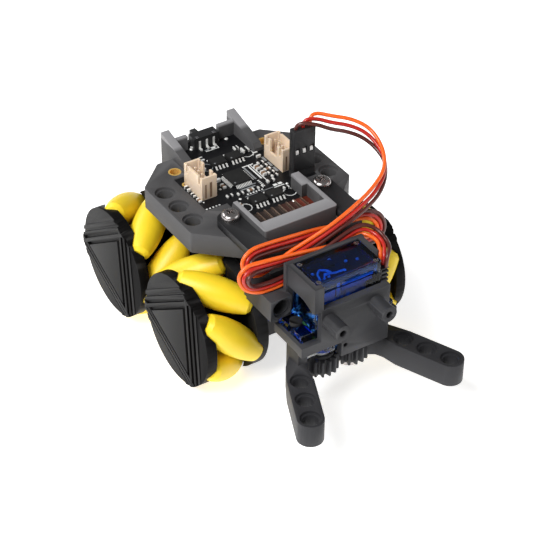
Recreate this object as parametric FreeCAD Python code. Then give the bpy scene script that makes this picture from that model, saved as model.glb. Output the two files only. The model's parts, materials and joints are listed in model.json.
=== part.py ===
import FreeCAD, Part
import math
import os

# Mecanum wheel robot, millimetres. Front is -Y, up is +Z, the floor is z = 0.
# The robot's own right side is -X and its own left side is +X.
os.makedirs("parts", exist_ok=True)

# ---------------------------------------------------------------- driving dimensions
DECK_Z = 49.9            # top face of the upper shell
Y0 = 17.204                # deck centre ahead of the origin (origin: middle of the footprint box)
PITCH = 8.0              # building-beam hole pitch
BEAM_HOLE_R = 2.4
BEAM_SINK_R = 3.1
BEAM_SINK_D = 0.9

DECK_HALF_W = 28.0       # octagonal deck
DECK_SIDE = 13.5
CHAMFER_X = 9.6
CHAMFER_Y = 8.9
SHELL_T = 7.0
BOARD_T = 1.6
BOARD_TOP = -0.2         # heights below are relative to the deck's top face

TUB_HALF_W = 13.6        # lower shell
TUB_FRONT = -24.0
TUB_REAR = 28.4
TUB_BOTTOM = -40.0
TUB_WALL = 1.2

WHEEL_R = 19.3           # over the rollers
AXLE_Z = WHEEL_R - DECK_Z
AXLE_FRONT = -16.8
AXLE_REAR = 22.3
WHEEL_X = 25.1           # middle of the wheel's width
WHEEL_HALF_T = 10.8
PLATE_T = 3.8
RELIEF = 1.0             # height of the ribs and panel on the outer plate
PLATE_R = 17.85
CORE_R = 8.2
STUB_R = 1.5

ROLLERS = 6
ROLLER_RING_R = 14.2     # distance of a roller's axis from the wheel's axis
ROLLER_R = WHEEL_R - ROLLER_RING_R
ROLLER_SHOULDER = 10.6
ROLLER_SHOULDER_R = 3.35
ROLLER_HALF_L = 11.6
ROLLER_END_R = 2.2
JOURNAL_R = 0.80
JOURNAL_END = 12.7
JOURNAL_PLAY = 0.06
ROLLER_GAP = 0.35

SERVO_Y = -48.0
SERVO_L = 22.2
SERVO_W = 11.8
SERVO_TOP = 0.4
COVER_T = 4.0
SERVO_BOTTOM = -22.3
TAB_TOP = -16.0
TAB_T = 2.5
TAB_SPAN = 32.0
SHAFT_X = 5.3            # servo shaft at -SHAFT_X, idler pivot at +SHAFT_X
SHAFT_R = 2.4

ARM_TOP = -29.0
ARM_T = 7.4
ARM_HALF_W = 4.0
ARM_ANGLE = -66.5        # direction of the row of holes, left arm
ARM_HOLE = (18.1, -57.3)
TEETH = 16
GEAR_TIP_R = 5.86
GEAR_ROOT_R = 4.55
GEAR_TOP = -30.0
GEAR_T = 5.4

WIRE_D = 1.2


# ---------------------------------------------------------------- helpers
def vec(x, y, z):
    return FreeCAD.Vector(x, y, z)


def box(x0, x1, y0, y1, z0, z1):
    return Part.makeBox(x1 - x0, y1 - y0, z1 - z0, vec(x0, y0, z0))


def rod(r, start, direction, length):
    return Part.makeCylinder(r, length, start, direction)


def prism(points, lift):
    face = Part.Face(Part.makePolygon(points + [points[0]]))
    return face.extrude(lift)


def prism_z(xy, z0, z1):
    return prism([vec(x, y, z0) for x, y in xy], vec(0, 0, z1 - z0))


def prism_x(yz, x0, x1):
    return prism([vec(x0, y, z) for y, z in yz], vec(x1 - x0, 0, 0))


def fuse(first, *others):
    return first.multiFuse(list(others)).removeSplitter()


def round_edges(shape, radius, wanted):
    edges = [e for e in shape.Edges if wanted(e)]
    return shape.makeFillet(radius, edges) if edges else shape


def along_z(edge):
    a, b = edge.Vertexes[0].Point, edge.Vertexes[-1].Point
    return abs(a.x - b.x) < 1e-6 and abs(a.y - b.y) < 1e-6 and abs(a.z - b.z) > 1e-3


def save(name, shape):
    placed = shape.copy()
    placed.translate(vec(0, Y0, DECK_Z))
    if not placed.isValid():
        print("INVALID", name)
    placed.exportStep("parts/" + name + ".step")
    return placed


PARTS = {}


# ---------------------------------------------------------------- wheels
def roller_profile(gap):
    """Half section of a roller in the XZ plane, grown outwards by gap."""
    a = vec(-ROLLER_SHOULDER, 0, ROLLER_SHOULDER_R + gap)
    b = vec(ROLLER_SHOULDER, 0, ROLLER_SHOULDER_R + gap)
    top = vec(0, 0, ROLLER_R + gap)
    end = ROLLER_HALF_L + gap * 0.8
    edges = [Part.Arc(a, top, b).toShape()]
    right = [b, vec(end, 0, ROLLER_END_R + gap), vec(end, 0, 0)]
    left = [vec(-end, 0, 0), vec(-end, 0, ROLLER_END_R + gap), a]
    path = right + left
    edges += [Part.makeLine(p, q) for p, q in zip(path, path[1:])]
    return Part.Wire(edges)


def roller_solid(gap=0.0):
    face = Part.Face(roller_profile(gap))
    body = face.revolve(vec(0, 0, 0), vec(1, 0, 0), 360)
    r = JOURNAL_R + (JOURNAL_PLAY if gap else 0.0)
    reach = JOURNAL_END + (0.12 if gap else 0.0)
    return body.fuse(rod(r, vec(-reach, 0, 0), vec(1, 0, 0), 2 * reach)).removeSplitter()


def roller_place(xc, yc, hand, angle):
    """Placement that takes a roller from the X axis to its seat on a wheel."""
    c, s = math.cos(math.radians(angle)), math.sin(math.radians(angle))
    up = vec(0, c, s)
    axis = vec(1, -hand * s, hand * c)
    axis.normalize()
    side = up.cross(axis)
    at = vec(xc, yc, AXLE_Z) + up * ROLLER_RING_R
    m = FreeCAD.Matrix(axis.x, side.x, up.x, at.x,
                       axis.y, side.y, up.y, at.y,
                       axis.z, side.z, up.z, at.z,
                       0, 0, 0, 1)
    return FreeCAD.Placement(m)


def face_relief(r, x0, height):
    """Triangular raised panel with three ribs stepping down from each side, on a plate facing +X."""
    corners = [-5, 115, 235]
    panel_r = 13.2
    pts = [(panel_r * math.cos(math.radians(a)), panel_r * math.sin(math.radians(a)))
           for a in corners]
    items = [prism([vec(x0, y, z) for y, z in pts], vec(height, 0, 0))]
    disc = rod(r, vec(x0 - 0.1, 0, 0), vec(1, 0, 0), height + 0.1)
    for k in range(3):
        mid = math.radians(corners[k] + 60)
        out = vec(0, math.cos(mid), math.sin(mid))
        run = vec(0, -math.sin(mid), math.cos(mid))
        for n, rib_h in enumerate((0.8, 0.6, 0.4)):
            near = panel_r * 0.5 + 1.0 + 2.1 * n
            a = vec(x0 - 0.1, 0, 0) + out * near - run * 20
            quad = [a, a + run * 40, a + run * 40 + out * 1.2, a + out * 1.2]
            items.append(prism(quad, vec(height * rib_h + 0.1, 0, 0)).common(disc))
    return items


def wheel(name, sx, yc, hand, phase):
    xc = sx * WHEEL_X
    pocket = roller_solid(ROLLER_GAP)
    plain = roller_solid()
    seats = [roller_place(xc, yc, hand, phase + k * 360 / ROLLERS) for k in range(ROLLERS)]
    cuts = []
    for k, seat in enumerate(seats):
        piece = plain.copy()
        piece.Placement = seat
        PARTS["roller_%s_%d" % (name, k + 1)] = piece
        gap = pocket.copy()
        gap.Placement = seat
        cuts.append(gap)
    out = vec(sx, 0, 0)
    hub = vec(xc, yc, AXLE_Z)
    inner = rod(PLATE_R, hub - out * WHEEL_HALF_T, out, PLATE_T)
    inner = fuse(inner,
                 rod(CORE_R, hub - out * WHEEL_HALF_T, out, 2 * WHEEL_HALF_T - PLATE_T),
                 rod(STUB_R, vec(sx * 7.0, yc, AXLE_Z), out, WHEEL_X - WHEEL_HALF_T - 7.0))
    face = WHEEL_HALF_T + 0.5 - RELIEF
    outer = rod(PLATE_R, hub + out * (WHEEL_HALF_T - PLATE_T), out, PLATE_T + face - WHEEL_HALF_T)
    relief = []
    for item in face_relief(PLATE_R, face, RELIEF):
        if sx < 0:
            item.rotate(vec(0, 0, 0), vec(0, 0, 1), 180)
            item = item.mirror(vec(0, 0, 0), vec(0, 1, 0))
        item.translate(hub)
        relief.append(item)
    outer = fuse(outer, *relief)
    PARTS["hub_inner_" + name] = inner.cut(Part.makeCompound(cuts))
    PARTS["hub_outer_" + name] = outer.cut(Part.makeCompound(cuts))


wheel("front_right", -1, AXLE_FRONT, 1, 111)
wheel("rear_right", -1, AXLE_REAR, -1, 112)
wheel("front_left", 1, AXLE_FRONT, -1, 111)
wheel("rear_left", 1, AXLE_REAR, 1, 112)


# ---------------------------------------------------------------- upper shell
def beam_hole(x, y, top, depth):
    hole = rod(BEAM_HOLE_R, vec(x, y, top - depth - 1), vec(0, 0, 1), depth + 2)
    sink = rod(BEAM_SINK_R, vec(x, y, top - BEAM_SINK_D), vec(0, 0, 1), 2)
    return hole.fuse(sink)


W = DECK_HALF_W
NOSE_Y = -(DECK_SIDE + 1.5 * CHAMFER_Y)
NOSE_X = W - 1.5 * CHAMFER_X
TAIL_Y = DECK_SIDE + CHAMFER_Y
TAIL_X = W - CHAMFER_X
deck = prism_z([(-W, -DECK_SIDE), (-NOSE_X, NOSE_Y), (NOSE_X, NOSE_Y), (W, -DECK_SIDE),
                (W, DECK_SIDE), (TAIL_X, TAIL_Y), (-TAIL_X, TAIL_Y), (-W, DECK_SIDE)],
               -SHELL_T, 0)
deck = round_edges(deck, 1.2, along_z)
RAIL_X = 12.6
frame = box(-RAIL_X, RAIL_X, -29.3, -22.0, -SHELL_T, 4.3)
frame = round_edges(frame, 0.8, lambda e: along_z(e) and e.Vertexes[0].Y < -29)
rails = [prism_x([(-10.5, 0), (-12.0, 4.3), (-25.0, 4.3), (-25.0, -2.0), (-10.5, -2.0)], a, b)
         for a, b in ((-RAIL_X, -11.2), (11.2, RAIL_X))]
wedge = prism_x([(-9.5, 0), (-9.5, 4.9), (-14.2, 4.9), (-15.4, 4.3), (-15.4, 0)], 9.3, 12.0)
tail = box(-13.2, 13.2, 20.0, 28.9, -SHELL_T, 0)
wing_side = [(12.0, -1.0), (12.0, 0.0), (13.6, 2.3), (28.9, 6.1), (28.9, -1.0)]
wings = [prism_x(wing_side, a, b) for a, b in ((-13.2, -10.4), (10.4, 13.2))]
posts = [box(-10.6, -6.2, 24.5, 26.0, -2.0, 4.6), box(4.8, 10.6, 24.5, 26.0, -2.0, 4.6)]
shell = fuse(deck, frame, tail, wedge, *(rails + wings + posts))
BOARD_OUT = [(-18.2, -6.2), (-11.0, -6.2), (-11.0, -24.6), (11.0, -24.6), (11.0, -7.6), (20.0, -7.6),
             (20.0, -2.4), (18.2, -2.4), (18.2, 12.4), (10.2, 12.4), (10.2, 24.4), (4.6, 24.4),
             (4.6, 27.2), (-6.0, 27.2), (-6.0, 24.4), (-10.2, 24.4), (-10.2, 12.4), (-18.2, 12.4)]
grow = Part.Face(Part.makePolygon([vec(x, y, 0) for x, y in BOARD_OUT + BOARD_OUT[:1]])).makeOffset2D(0.15)
recess = grow.extrude(vec(0, 0, 12))
recess.translate(vec(0, 0, BOARD_TOP - BOARD_T))
keep = [wedge] + posts
cut_recess = recess.cut(Part.makeCompound(keep))
shell = shell.cut(cut_recess)
shell = shell.cut(box(-12.3, 12.3, -22.8, 26.0, -SHELL_T - 1, -3.4))
for side in (-1, 1):
    for row in (-1, 0, 1):
        shell = shell.cut(beam_hole(side * 3 * PITCH, row * PITCH, 0, SHELL_T))
INSERTS = [(sx * 2 * PITCH, sy * 2 * PITCH) for sx in (-1, 1) for sy in (-1, 1)]
for x, y in INSERTS:
    shell = shell.cut(rod(2.0, vec(x, y, -5.0), vec(0, 0, 1), 6))
PARTS["upper_shell"] = shell

inserts = []
for x, y in INSERTS:
    ring = rod(2.0, vec(x, y, -4.9), vec(0, 0, 1), 4.9).cut(rod(1.5, vec(x, y, -6), vec(0, 0, 1), 8))
    inserts.append(ring)
PARTS["brass_inserts"] = Part.makeCompound(inserts)

# ---------------------------------------------------------------- lower shell
tub = box(-TUB_HALF_W, TUB_HALF_W, TUB_FRONT, TUB_REAR, TUB_BOTTOM, -SHELL_T)
tub = round_edges(tub, 2.0, along_z)
hollow = box(-TUB_HALF_W + TUB_WALL, TUB_HALF_W - TUB_WALL, TUB_FRONT + TUB_WALL, TUB_REAR - TUB_WALL,
             TUB_BOTTOM + 1.6, 0)
tub = tub.cut(hollow)
for y in (AXLE_FRONT, AXLE_REAR):
    tub = tub.cut(rod(2.2, vec(-20, y, AXLE_Z), vec(1, 0, 0), 40))
PARTS["lower_shell"] = tub

# ---------------------------------------------------------------- drive motors and battery
motors = []
for sx in (-1, 1):
    for y, way in ((AXLE_FRONT, 1), (AXLE_REAR, -1)):
        x0, x1 = sorted((sx * 2.2, sx * 12.2))
        gearbox = box(x0, x1, y - 4.6, y + 4.6, AXLE_Z - 6, AXLE_Z + 6)
        can = rod(6.0, vec(sx * 7.2, y + way * 4.6, AXLE_Z), vec(0, way, 0), 14.6)
        can = can.common(box(x0, x1, y - 30, y + 30, AXLE_Z - 6, AXLE_Z + 6))
        bore = rod(STUB_R + 0.05, vec(sx * 6.9, y, AXLE_Z), vec(sx, 0, 0), 8)
        motors.append(gearbox.fuse(can).cut(bore))
PARTS["gear_motors"] = Part.makeCompound(motors)
battery = box(-10.5, 10.5, -19.0, 23.5, -22.5, -9.5)
PARTS["battery"] = battery.makeFillet(1.5, battery.Edges)

# ---------------------------------------------------------------- controller board
board = prism_z(BOARD_OUT, BOARD_TOP - BOARD_T, BOARD_TOP)
PARTS["main_board"] = board
BT = BOARD_TOP


def package(x, y, w, l, h, pins, pitch, sides, lead, reach):
    """Chip body with flat pins; sides is 'y' for two rows or 'xy' for four."""
    body = box(x - w / 2, x + w / 2, y - l / 2, y + l / 2, BT + 0.1, BT + h)
    items = [body]
    for k in range(pins):
        d = (k - (pins - 1) / 2) * pitch
        for s in (-1, 1):
            if "y" in sides:
                yb = y + s * l / 2
                items.append(box(x + d - lead / 2, x + d + lead / 2, min(yb, yb + s * reach),
                                 max(yb, yb + s * reach), BT, BT + 0.35))
            if "x" in sides:
                xb = x + s * w / 2
                items.append(box(min(xb, xb + s * reach), max(xb, xb + s * reach), y + d - lead / 2,
                                 y + d + lead / 2, BT, BT + 0.35))
    return fuse(*items)


chips = [package(-1.9, 2.9, 6.4, 7.0, 1.2, 11, 0.5, "xy", 0.24, 1.0)]
for x, y in ((-2.7, -10.3), (3.0, -10.3), (-2.6, 13.0), (3.3, 13.0)):
    chips.append(package(x, y, 4.9, 3.8, 1.4, 4, 1.22, "y", 0.5, 1.25))
PARTS["board_chips"] = Part.makeCompound(chips)

small = []
for x, y, w, l, h in ((6.3, 4.6, 1.4, 2.4, 0.9), (8.6, 6.4, 2.2, 1.2, 0.6), (8.6, 4.4, 2.2, 1.2, 0.6),
                      (8.6, 2.4, 2.2, 1.2, 0.6), (8.6, 0.4, 2.2, 1.2, 0.6), (8.6, -1.6, 2.2, 1.2, 0.6),
                      (6.3, 1.0, 1.4, 2.4, 0.9), (6.0, -3.4, 2.6, 1.3, 0.8), (-7.6, 6.0, 1.6, 3.2, 1.1),
                      (-7.6, 1.6, 1.2, 2.2, 0.7), (-17.5, 5.9, 1.2, 2.4, 1.0), (-17.5, 2.4, 1.1, 2.0, 0.6),
                      (-17.5, -0.8, 1.1, 2.0, 0.6), (-8.6, -3.6, 2.2, 1.2, 0.6), (-5.2, -4.3, 2.2, 1.2, 0.6),
                      (-1.6, -4.3, 2.2, 1.2, 0.6), (1.6, -4.6, 2.0, 1.2, 0.6), (8.2, 14.6, 2.4, 2.4, 1.0),
                      (-8.4, 12.8, 1.8, 2.6, 1.0), (-5.6, 17.4, 1.2, 2.0, 0.6), (6.4, 17.0, 1.6, 1.6, 0.8),
                      (-8.4, -9.4, 1.2, 2.0, 0.6), (8.0, -9.0, 2.0, 1.2, 0.8), (9.9, 10.4, 1.6, 2.6, 0.9)):
    small.append(box(x - w / 2, x + w / 2, y - l / 2, y + l / 2, BT, BT + h))
PARTS["board_parts"] = Part.makeCompound(small)


def socket(sx):
    """Four-pin upright wire socket with a shrouded well and side slots."""
    x0, x1 = sorted((sx * 11.6, sx * 16.8))
    body = box(x0, x1, -1.4, 9.0, BT, 7.6)
    well = box(x0 + 0.7, x1 - 0.7, -0.7, 8.3, 2.0, 9)
    front = box(min(sx * 11.0, sx * 12.4), max(sx * 11.0, sx * 12.4), 2.0, 5.6, 3.4, 9)
    slots = [box(x0 - 1, x1 + 1, y - 0.45, y + 0.45, 4.8, 9) for y in (0.2, 7.4)]
    shape = body.cut(well).cut(front)
    for slot in slots:
        shape = shape.cut(slot)
    pins = [box(sx * 14.2 - 0.32, sx * 14.2 + 0.32, y - 0.32, y + 0.32, 1.9, 6.4) for y in (0.8, 2.8, 4.8, 6.8)]
    return fuse(shape, *pins)


PARTS["wire_sockets"] = Part.makeCompound([socket(-1), socket(1)])

PLUG_X, PLUG_Y = 16.2, -5.0
base = box(PLUG_X - 3.81, PLUG_X + 3.81, PLUG_Y - 1.27, PLUG_Y + 1.27, BT, BT + 2.5)
posts3 = [box(PLUG_X + d - 0.32, PLUG_X + d + 0.32, PLUG_Y - 0.32, PLUG_Y + 0.32, BT + 2.4, BT + 8.6)
          for d in (-2.54, 0, 2.54)]
PARTS["servo_header"] = fuse(base, *posts3)

contacts = []
for k in range(8):
    x = -8.89 + 2.54 * k
    contacts.append(box(x - 0.15, x + 0.15, -24.4, -14.9, BT, BT + 0.65))
PARTS["dock_contacts"] = Part.makeCompound(contacts)

# ---------------------------------------------------------------- power switch
SW_X = -0.5
sw = box(SW_X - 4.4, SW_X + 4.4, 22.8, 26.6, BT, 3.9)
sw = sw.cut(box(SW_X - 2.9, SW_X + 2.9, 25.0, 27.0, 1.5, 3.3))
tabs = [box(SW_X + d - 0.35, SW_X + d + 0.35, 21.4, 22.9, BT, 1.4) for d in (-2.5, 0, 2.5)]
ears = [box(SW_X + s * 4.4 - 0.6, SW_X + s * 4.4 + 0.6, 23.6, 24.6, BT, 0.6) for s in (-1, 1)]
PARTS["switch_body"] = fuse(sw, *(tabs + ears))
PARTS["switch_knob"] = fuse(box(SW_X - 2.3, SW_X - 0.3, 25.1, 29.4, 1.65, 3.15),
                            box(SW_X - 2.6, SW_X, 25.1, 25.9, 1.65, 3.15))

# ---------------------------------------------------------------- gripper bracket
EAR_IN, EAR_OUT = 12.8, 19.9
EAR_X = 2 * PITCH
bracket_items = []
for s in (-1, 1):
    xa, xb = sorted((s * EAR_IN, s * EAR_OUT))
    ear = box(xa, xb, -31.8, -16.0, 0, 2.5)
    nose = rod((xb - xa) / 2, vec((xa + xb) / 2, -16.0, 0), vec(0, 0, 1), 2.5)
    drop = box(xa, xb, -31.8, -29.8, -15.0, 2.5)
    beam = box(xa, min(xb, xa + 7.1), -44.0, -31.0, -15.8, -8.8)
    bracket_items += [ear, nose, drop, beam]
back = box(-13.4, 13.4, -41.9, -40.4, -21.6, 0.6)
bridge = box(-EAR_OUT, EAR_OUT, -40.6, -31.0, -12.2, -10.2)
left_wall = prism_x([(-40.4, 0.6), (-56.0, 0.6), (-56.0, -7.4), (-55.0, -8.4), (-53.0, -7.4),
                     (-50.0, -6.4), (-40.4, -6.4)], -13.0, -11.3)
left_lip = box(-13.0, -9.9, -56.0, -54.1, -8.0, 0.6)
right_wall = box(11.3, 13.0, -55.6, -40.4, -21.6, 0.6)
flanges = [box(-17.2, -11.3, -54.4, -41.9, -21.6, -18.6), box(11.3, 17.2, -54.4, -41.9, -21.6, -18.6)]
apron_low = box(-17.2, 13.0, -56.2, -54.1, -22.0, -18.6)
apron = box(-10.6, 13.0, -56.2, -54.1, -22.0, -7.4)
apron_mid = box(-3.4, 13.0, -56.2, -54.1, -27.2, -20.0)
chin = box(3.2, 11.0, -55.0, -41.9, -28.4, -22.7)
chin_back = box(3.2, 11.0, -41.9, -40.4, -28.4, -20.0)
tubes = [rod(2.6, vec(s * PITCH, -55.0, -12.0), vec(0, -1, 0), 8.0) for s in (-1, 1)]
bracket = fuse(back, bridge, left_wall, left_lip, right_wall, apron_low, apron, apron_mid, chin,
               chin_back, *(flanges + tubes + bracket_items))
for s in (-1, 1):
    bracket = bracket.cut(rod(1.6, vec(s * EAR_X, -16, -1), vec(0, 0, 1), 5))
    bracket = bracket.cut(rod(BEAM_HOLE_R, vec(s * EAR_X, -29.0, -12.4), vec(0, -1, 0), 20))
    bracket = bracket.cut(rod(BEAM_SINK_R, vec(s * EAR_X, -43.1, -12.4), vec(0, -1, 0), 2))
    bracket = bracket.cut(rod(1.1, vec(s * PITCH, -56.0, -12.0), vec(0, -1, 0), 9))
    bracket = bracket.cut(rod(0.8, vec(s * 13.9, SERVO_Y, -24), vec(0, 0, 1), 6))
bracket = bracket.cut(rod(0.7, vec(-2.0, -57, -23.4), vec(0, 1, 0), 3.5))
bracket = bracket.cut(rod(1.5, vec(SHAFT_X, SERVO_Y, -30), vec(0, 0, 1), 7.0))
bracket = bracket.cut(box(11.1, 14, -57, -49.6, -7.4, 2))
bracket = bracket.cut(box(11.1, 14, -53.6, -49.6, -10.3, -7))
bracket = bracket.cut(box(10, 17.5, -54.1, -41.9, -18.6, -15.9))
bracket = bracket.cut(box(11, 16.5, -50.2, -45.8, -18.6, -14.4))
PARTS["gripper_bracket"] = bracket

screws = []
for s in (-1, 1):
    head = rod(2.8, vec(s * EAR_X, -16, 2.5), vec(0, 0, 1), 2.0)
    head = head.makeFillet(1.2, [e for e in head.Edges if abs(e.BoundBox.ZMin - 4.5) < 1e-6])
    screw = fuse(head, rod(1.5, vec(s * EAR_X, -16, -4.8), vec(0, 0, 1), 7.4))
    for a in (0, 90):
        slot = box(-1.4, 1.4, -0.3, 0.3, 3.5, 5)
        slot.rotate(vec(0, 0, 0), vec(0, 0, 1), a + 25)
        slot.translate(vec(s * EAR_X, -16, 0))
        screw = screw.cut(slot)
    screws.append(screw)
PARTS["bracket_screws"] = Part.makeCompound(screws)

# ---------------------------------------------------------------- servo
sx, sy = SERVO_L / 2, SERVO_W / 2
CASE_TOP = SERVO_TOP - COVER_T
case = box(-sx, sx, SERVO_Y - sy, SERVO_Y + sy, SERVO_BOTTOM, CASE_TOP)
case = round_edges(case, 0.5, along_z)
ring = box(-TAB_SPAN / 2, TAB_SPAN / 2, SERVO_Y - sy, SERVO_Y + sy, TAB_TOP - TAB_T, TAB_TOP)
boss = rod(sy - 0.05, vec(-SHAFT_X, SERVO_Y, -26.2), vec(0, 0, 1), 5)
boss2 = rod(2.6, vec(0.2, SERVO_Y, -26.2), vec(0, 0, 1), 5)
case = fuse(case, ring, boss, boss2)
inside = box(-sx + 1.1, sx - 1.1, SERVO_Y - sy + 1.1, SERVO_Y + sy - 1.1, SERVO_BOTTOM + 1.2, 5)
case = case.cut(inside)
case = case.cut(rod(SHAFT_R + 0.05, vec(-SHAFT_X, SERVO_Y, -28), vec(0, 0, 1), 12))
for s in (-1, 1):
    case = case.cut(rod(1.0, vec(s * 13.9, SERVO_Y, TAB_TOP - 4), vec(0, 0, 1), 6))
    xa, xb = sorted((s * 13.9, s * 17.0))
    case = case.cut(box(xa, xb, SERVO_Y - 0.6, SERVO_Y + 0.6, TAB_TOP - 4, TAB_TOP + 1))
PARTS["servo_case"] = case

cover = box(-sx, sx, SERVO_Y - sy, SERVO_Y + sy, CASE_TOP, SERVO_TOP)
cover = round_edges(cover, 0.5, along_z)
cover = cover.cut(box(-sx + 1.1, sx - 1.1, SERVO_Y - sy + 1.1, SERVO_Y + sy - 1.1, CASE_TOP - 1, SERVO_TOP - 1.2))
SCREW_X, SCREW_Y = 9.8, 4.85
for i in (-1, 1):
    for j in (-1, 1):
        cover = cover.cut(rod(0.85, vec(i * SCREW_X, SERVO_Y + j * SCREW_Y, SERVO_TOP - 0.9), vec(0, 0, 1), 3))
PARTS["servo_cover"] = cover

servo_screws = []
for i in (-1, 1):
    for j in (-1, 1):
        pin = rod(0.8, vec(i * SCREW_X, SERVO_Y + j * SCREW_Y, SERVO_TOP - 0.85), vec(0, 0, 1), 0.75)
        servo_screws.append(pin.cut(box(i * SCREW_X - 0.6, i * SCREW_X + 0.6, SERVO_Y + j * SCREW_Y - 0.12,
                                        SERVO_Y + j * SCREW_Y + 0.12, SERVO_TOP - 0.4, SERVO_TOP + 1)))
for s in (-1, 1):
    servo_screws.append(fuse(rod(1.9, vec(s * 13.9, SERVO_Y, TAB_TOP), vec(0, 0, 1), 1.3),
                             rod(0.8, vec(s * 13.9, SERVO_Y, TAB_TOP - 5.4), vec(0, 0, 1), 5.5)))
PARTS["servo_screws"] = Part.makeCompound(servo_screws)

motor_can = rod(3.9, vec(5.8, SERVO_Y, -16.0), vec(0, 0, 1), 12.3)
pcb = box(-9.6, 9.6, SERVO_Y - 4.5, SERVO_Y + 4.5, -2.6, -1.6)
pot = rod(4.2, vec(-SHAFT_X, SERVO_Y, -9.0), vec(0, 0, 1), 5.6)
gear_a = rod(4.4, vec(-SHAFT_X, SERVO_Y, -12.5), vec(0, 0, 1), 1.6)
gear_b = rod(2.0, vec(0.8, SERVO_Y, -15.5), vec(0, 0, 1), 5.5)
PARTS["servo_internals"] = Part.makeCompound([motor_can, pcb, pot, gear_a, gear_b])

grommet = box(11.1, 14.3, -53.3, -49.9, -10.0, -3.6)
for k in range(4):
    z = -9.2 + 1.5 * k
    grommet = grommet.cut(box(13.5, 15, -54, -48, z, z + 0.7))
    grommet = grommet.cut(box(11.9, 15, -54, -52.6, z, z + 0.7))
PARTS["servo_strain_relief"] = grommet

# ---------------------------------------------------------------- gripper arms
def gear(cx, phase):
    step = 360.0 / TEETH
    pts = []
    for k in range(TEETH):
        mid = phase + k * step
        for off, r in ((-0.36, GEAR_ROOT_R), (-0.13, GEAR_TIP_R), (0.13, GEAR_TIP_R), (0.36, GEAR_ROOT_R)):
            a = math.radians(mid + off * step)
            pts.append((cx + r * math.cos(a), SERVO_Y + r * math.sin(a)))
    return prism_z(pts, GEAR_TOP - GEAR_T, GEAR_TOP)


def arm(side, phase):
    """Arm on the +X side when side is 1, its mirror image when side is -1."""
    a = math.radians(ARM_ANGLE)
    run = (math.cos(a), math.sin(a))
    out = (-run[1], run[0])
    hx, hy = ARM_HOLE
    holes = [(hx + run[0] * PITCH * k, hy + run[1] * PITCH * k) for k in range(3)]
    hw = ARM_HALF_W

    def at(k, w):
        return (holes[k][0] + out[0] * w, holes[k][1] + out[1] * w)

    link = [(7.0, -42.6), (13.0, -44.4), (18.2, -49.6), at(0, hw), at(2, hw), at(2, -hw), at(0, -hw),
            (13.4, -54.2), (12.2, -51.9), (10.2, -50.6), (7.6, -50.4)]
    z0, z1 = ARM_TOP - ARM_T, ARM_TOP
    solid = prism_z([(side * x, y) for x, y in link], z0, z1)
    tip = rod(hw, vec(side * holes[2][0], holes[2][1], z0), vec(0, 0, 1), ARM_T)
    hub = rod(4.3, vec(side * SHAFT_X, SERVO_Y, z0 + 0.9), vec(0, 0, 1), ARM_T - 0.9)
    solid = fuse(solid, tip, hub, gear(side * SHAFT_X, phase))
    for x, y in holes:
        solid = solid.cut(rod(BEAM_HOLE_R, vec(side * x, y, z0 - 1), vec(0, 0, 1), ARM_T + 2))
        solid = solid.cut(rod(BEAM_SINK_R, vec(side * x, y, z1 - BEAM_SINK_D), vec(0, 0, 1), 2))
        solid = solid.cut(rod(BEAM_SINK_R, vec(side * x, y, z0 - 1), vec(0, 0, 1), 1 + BEAM_SINK_D))
    return solid


drive = arm(-1, 0)
drive = fuse(drive, box(-15.0, -11.9, -51.4, -45.0, ARM_TOP - ARM_T, -23.0))
drive = drive.cut(rod(1.2, vec(-SHAFT_X, SERVO_Y, -40), vec(0, 0, 1), 12))
PARTS["drive_arm"] = drive
idler = arm(1, 360.0 / TEETH / 2)
idler = idler.cut(rod(1.55, vec(SHAFT_X, SERVO_Y, -40), vec(0, 0, 1), 20))
PARTS["idler_arm"] = idler

horn = fuse(rod(3.4, vec(-SHAFT_X, SERVO_Y, -28.95), vec(0, 0, 1), 2.3),
            box(-SHAFT_X - 9.0, -SHAFT_X + 3.0, SERVO_Y - 2.1, SERVO_Y + 2.1, -28.95, -27.5).common(
                rod(6.2, vec(-SHAFT_X, SERVO_Y, -29), vec(0, 0, 1), 3)),
            rod(SHAFT_R, vec(-SHAFT_X, SERVO_Y, -26.8), vec(0, 0, 1), 6.0))
PARTS["servo_horn"] = horn
PARTS["pivot_screw"] = fuse(rod(1.5, vec(SHAFT_X, SERVO_Y, -36.8), vec(0, 0, 1), 13.2),
                            rod(2.9, vec(SHAFT_X, SERVO_Y, -38.0), vec(0, 0, 1), 1.4))

# ---------------------------------------------------------------- servo plug and wires
plug = box(PLUG_X - 3.81, PLUG_X + 3.81, PLUG_Y - 1.3, PLUG_Y + 1.3, BT + 2.5, BT + 16.9)
for d in (-2.54, 0, 2.54):
    plug = plug.cut(box(PLUG_X + d - 0.36, PLUG_X + d + 0.36, PLUG_Y - 0.36, PLUG_Y + 0.36, 0, BT + 9.2))
    plug = plug.cut(box(PLUG_X + d - 0.7, PLUG_X + d + 0.7, PLUG_Y - 1.5, PLUG_Y - 0.9, 8.0, 10.4))
PARTS["servo_plug"] = plug

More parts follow.
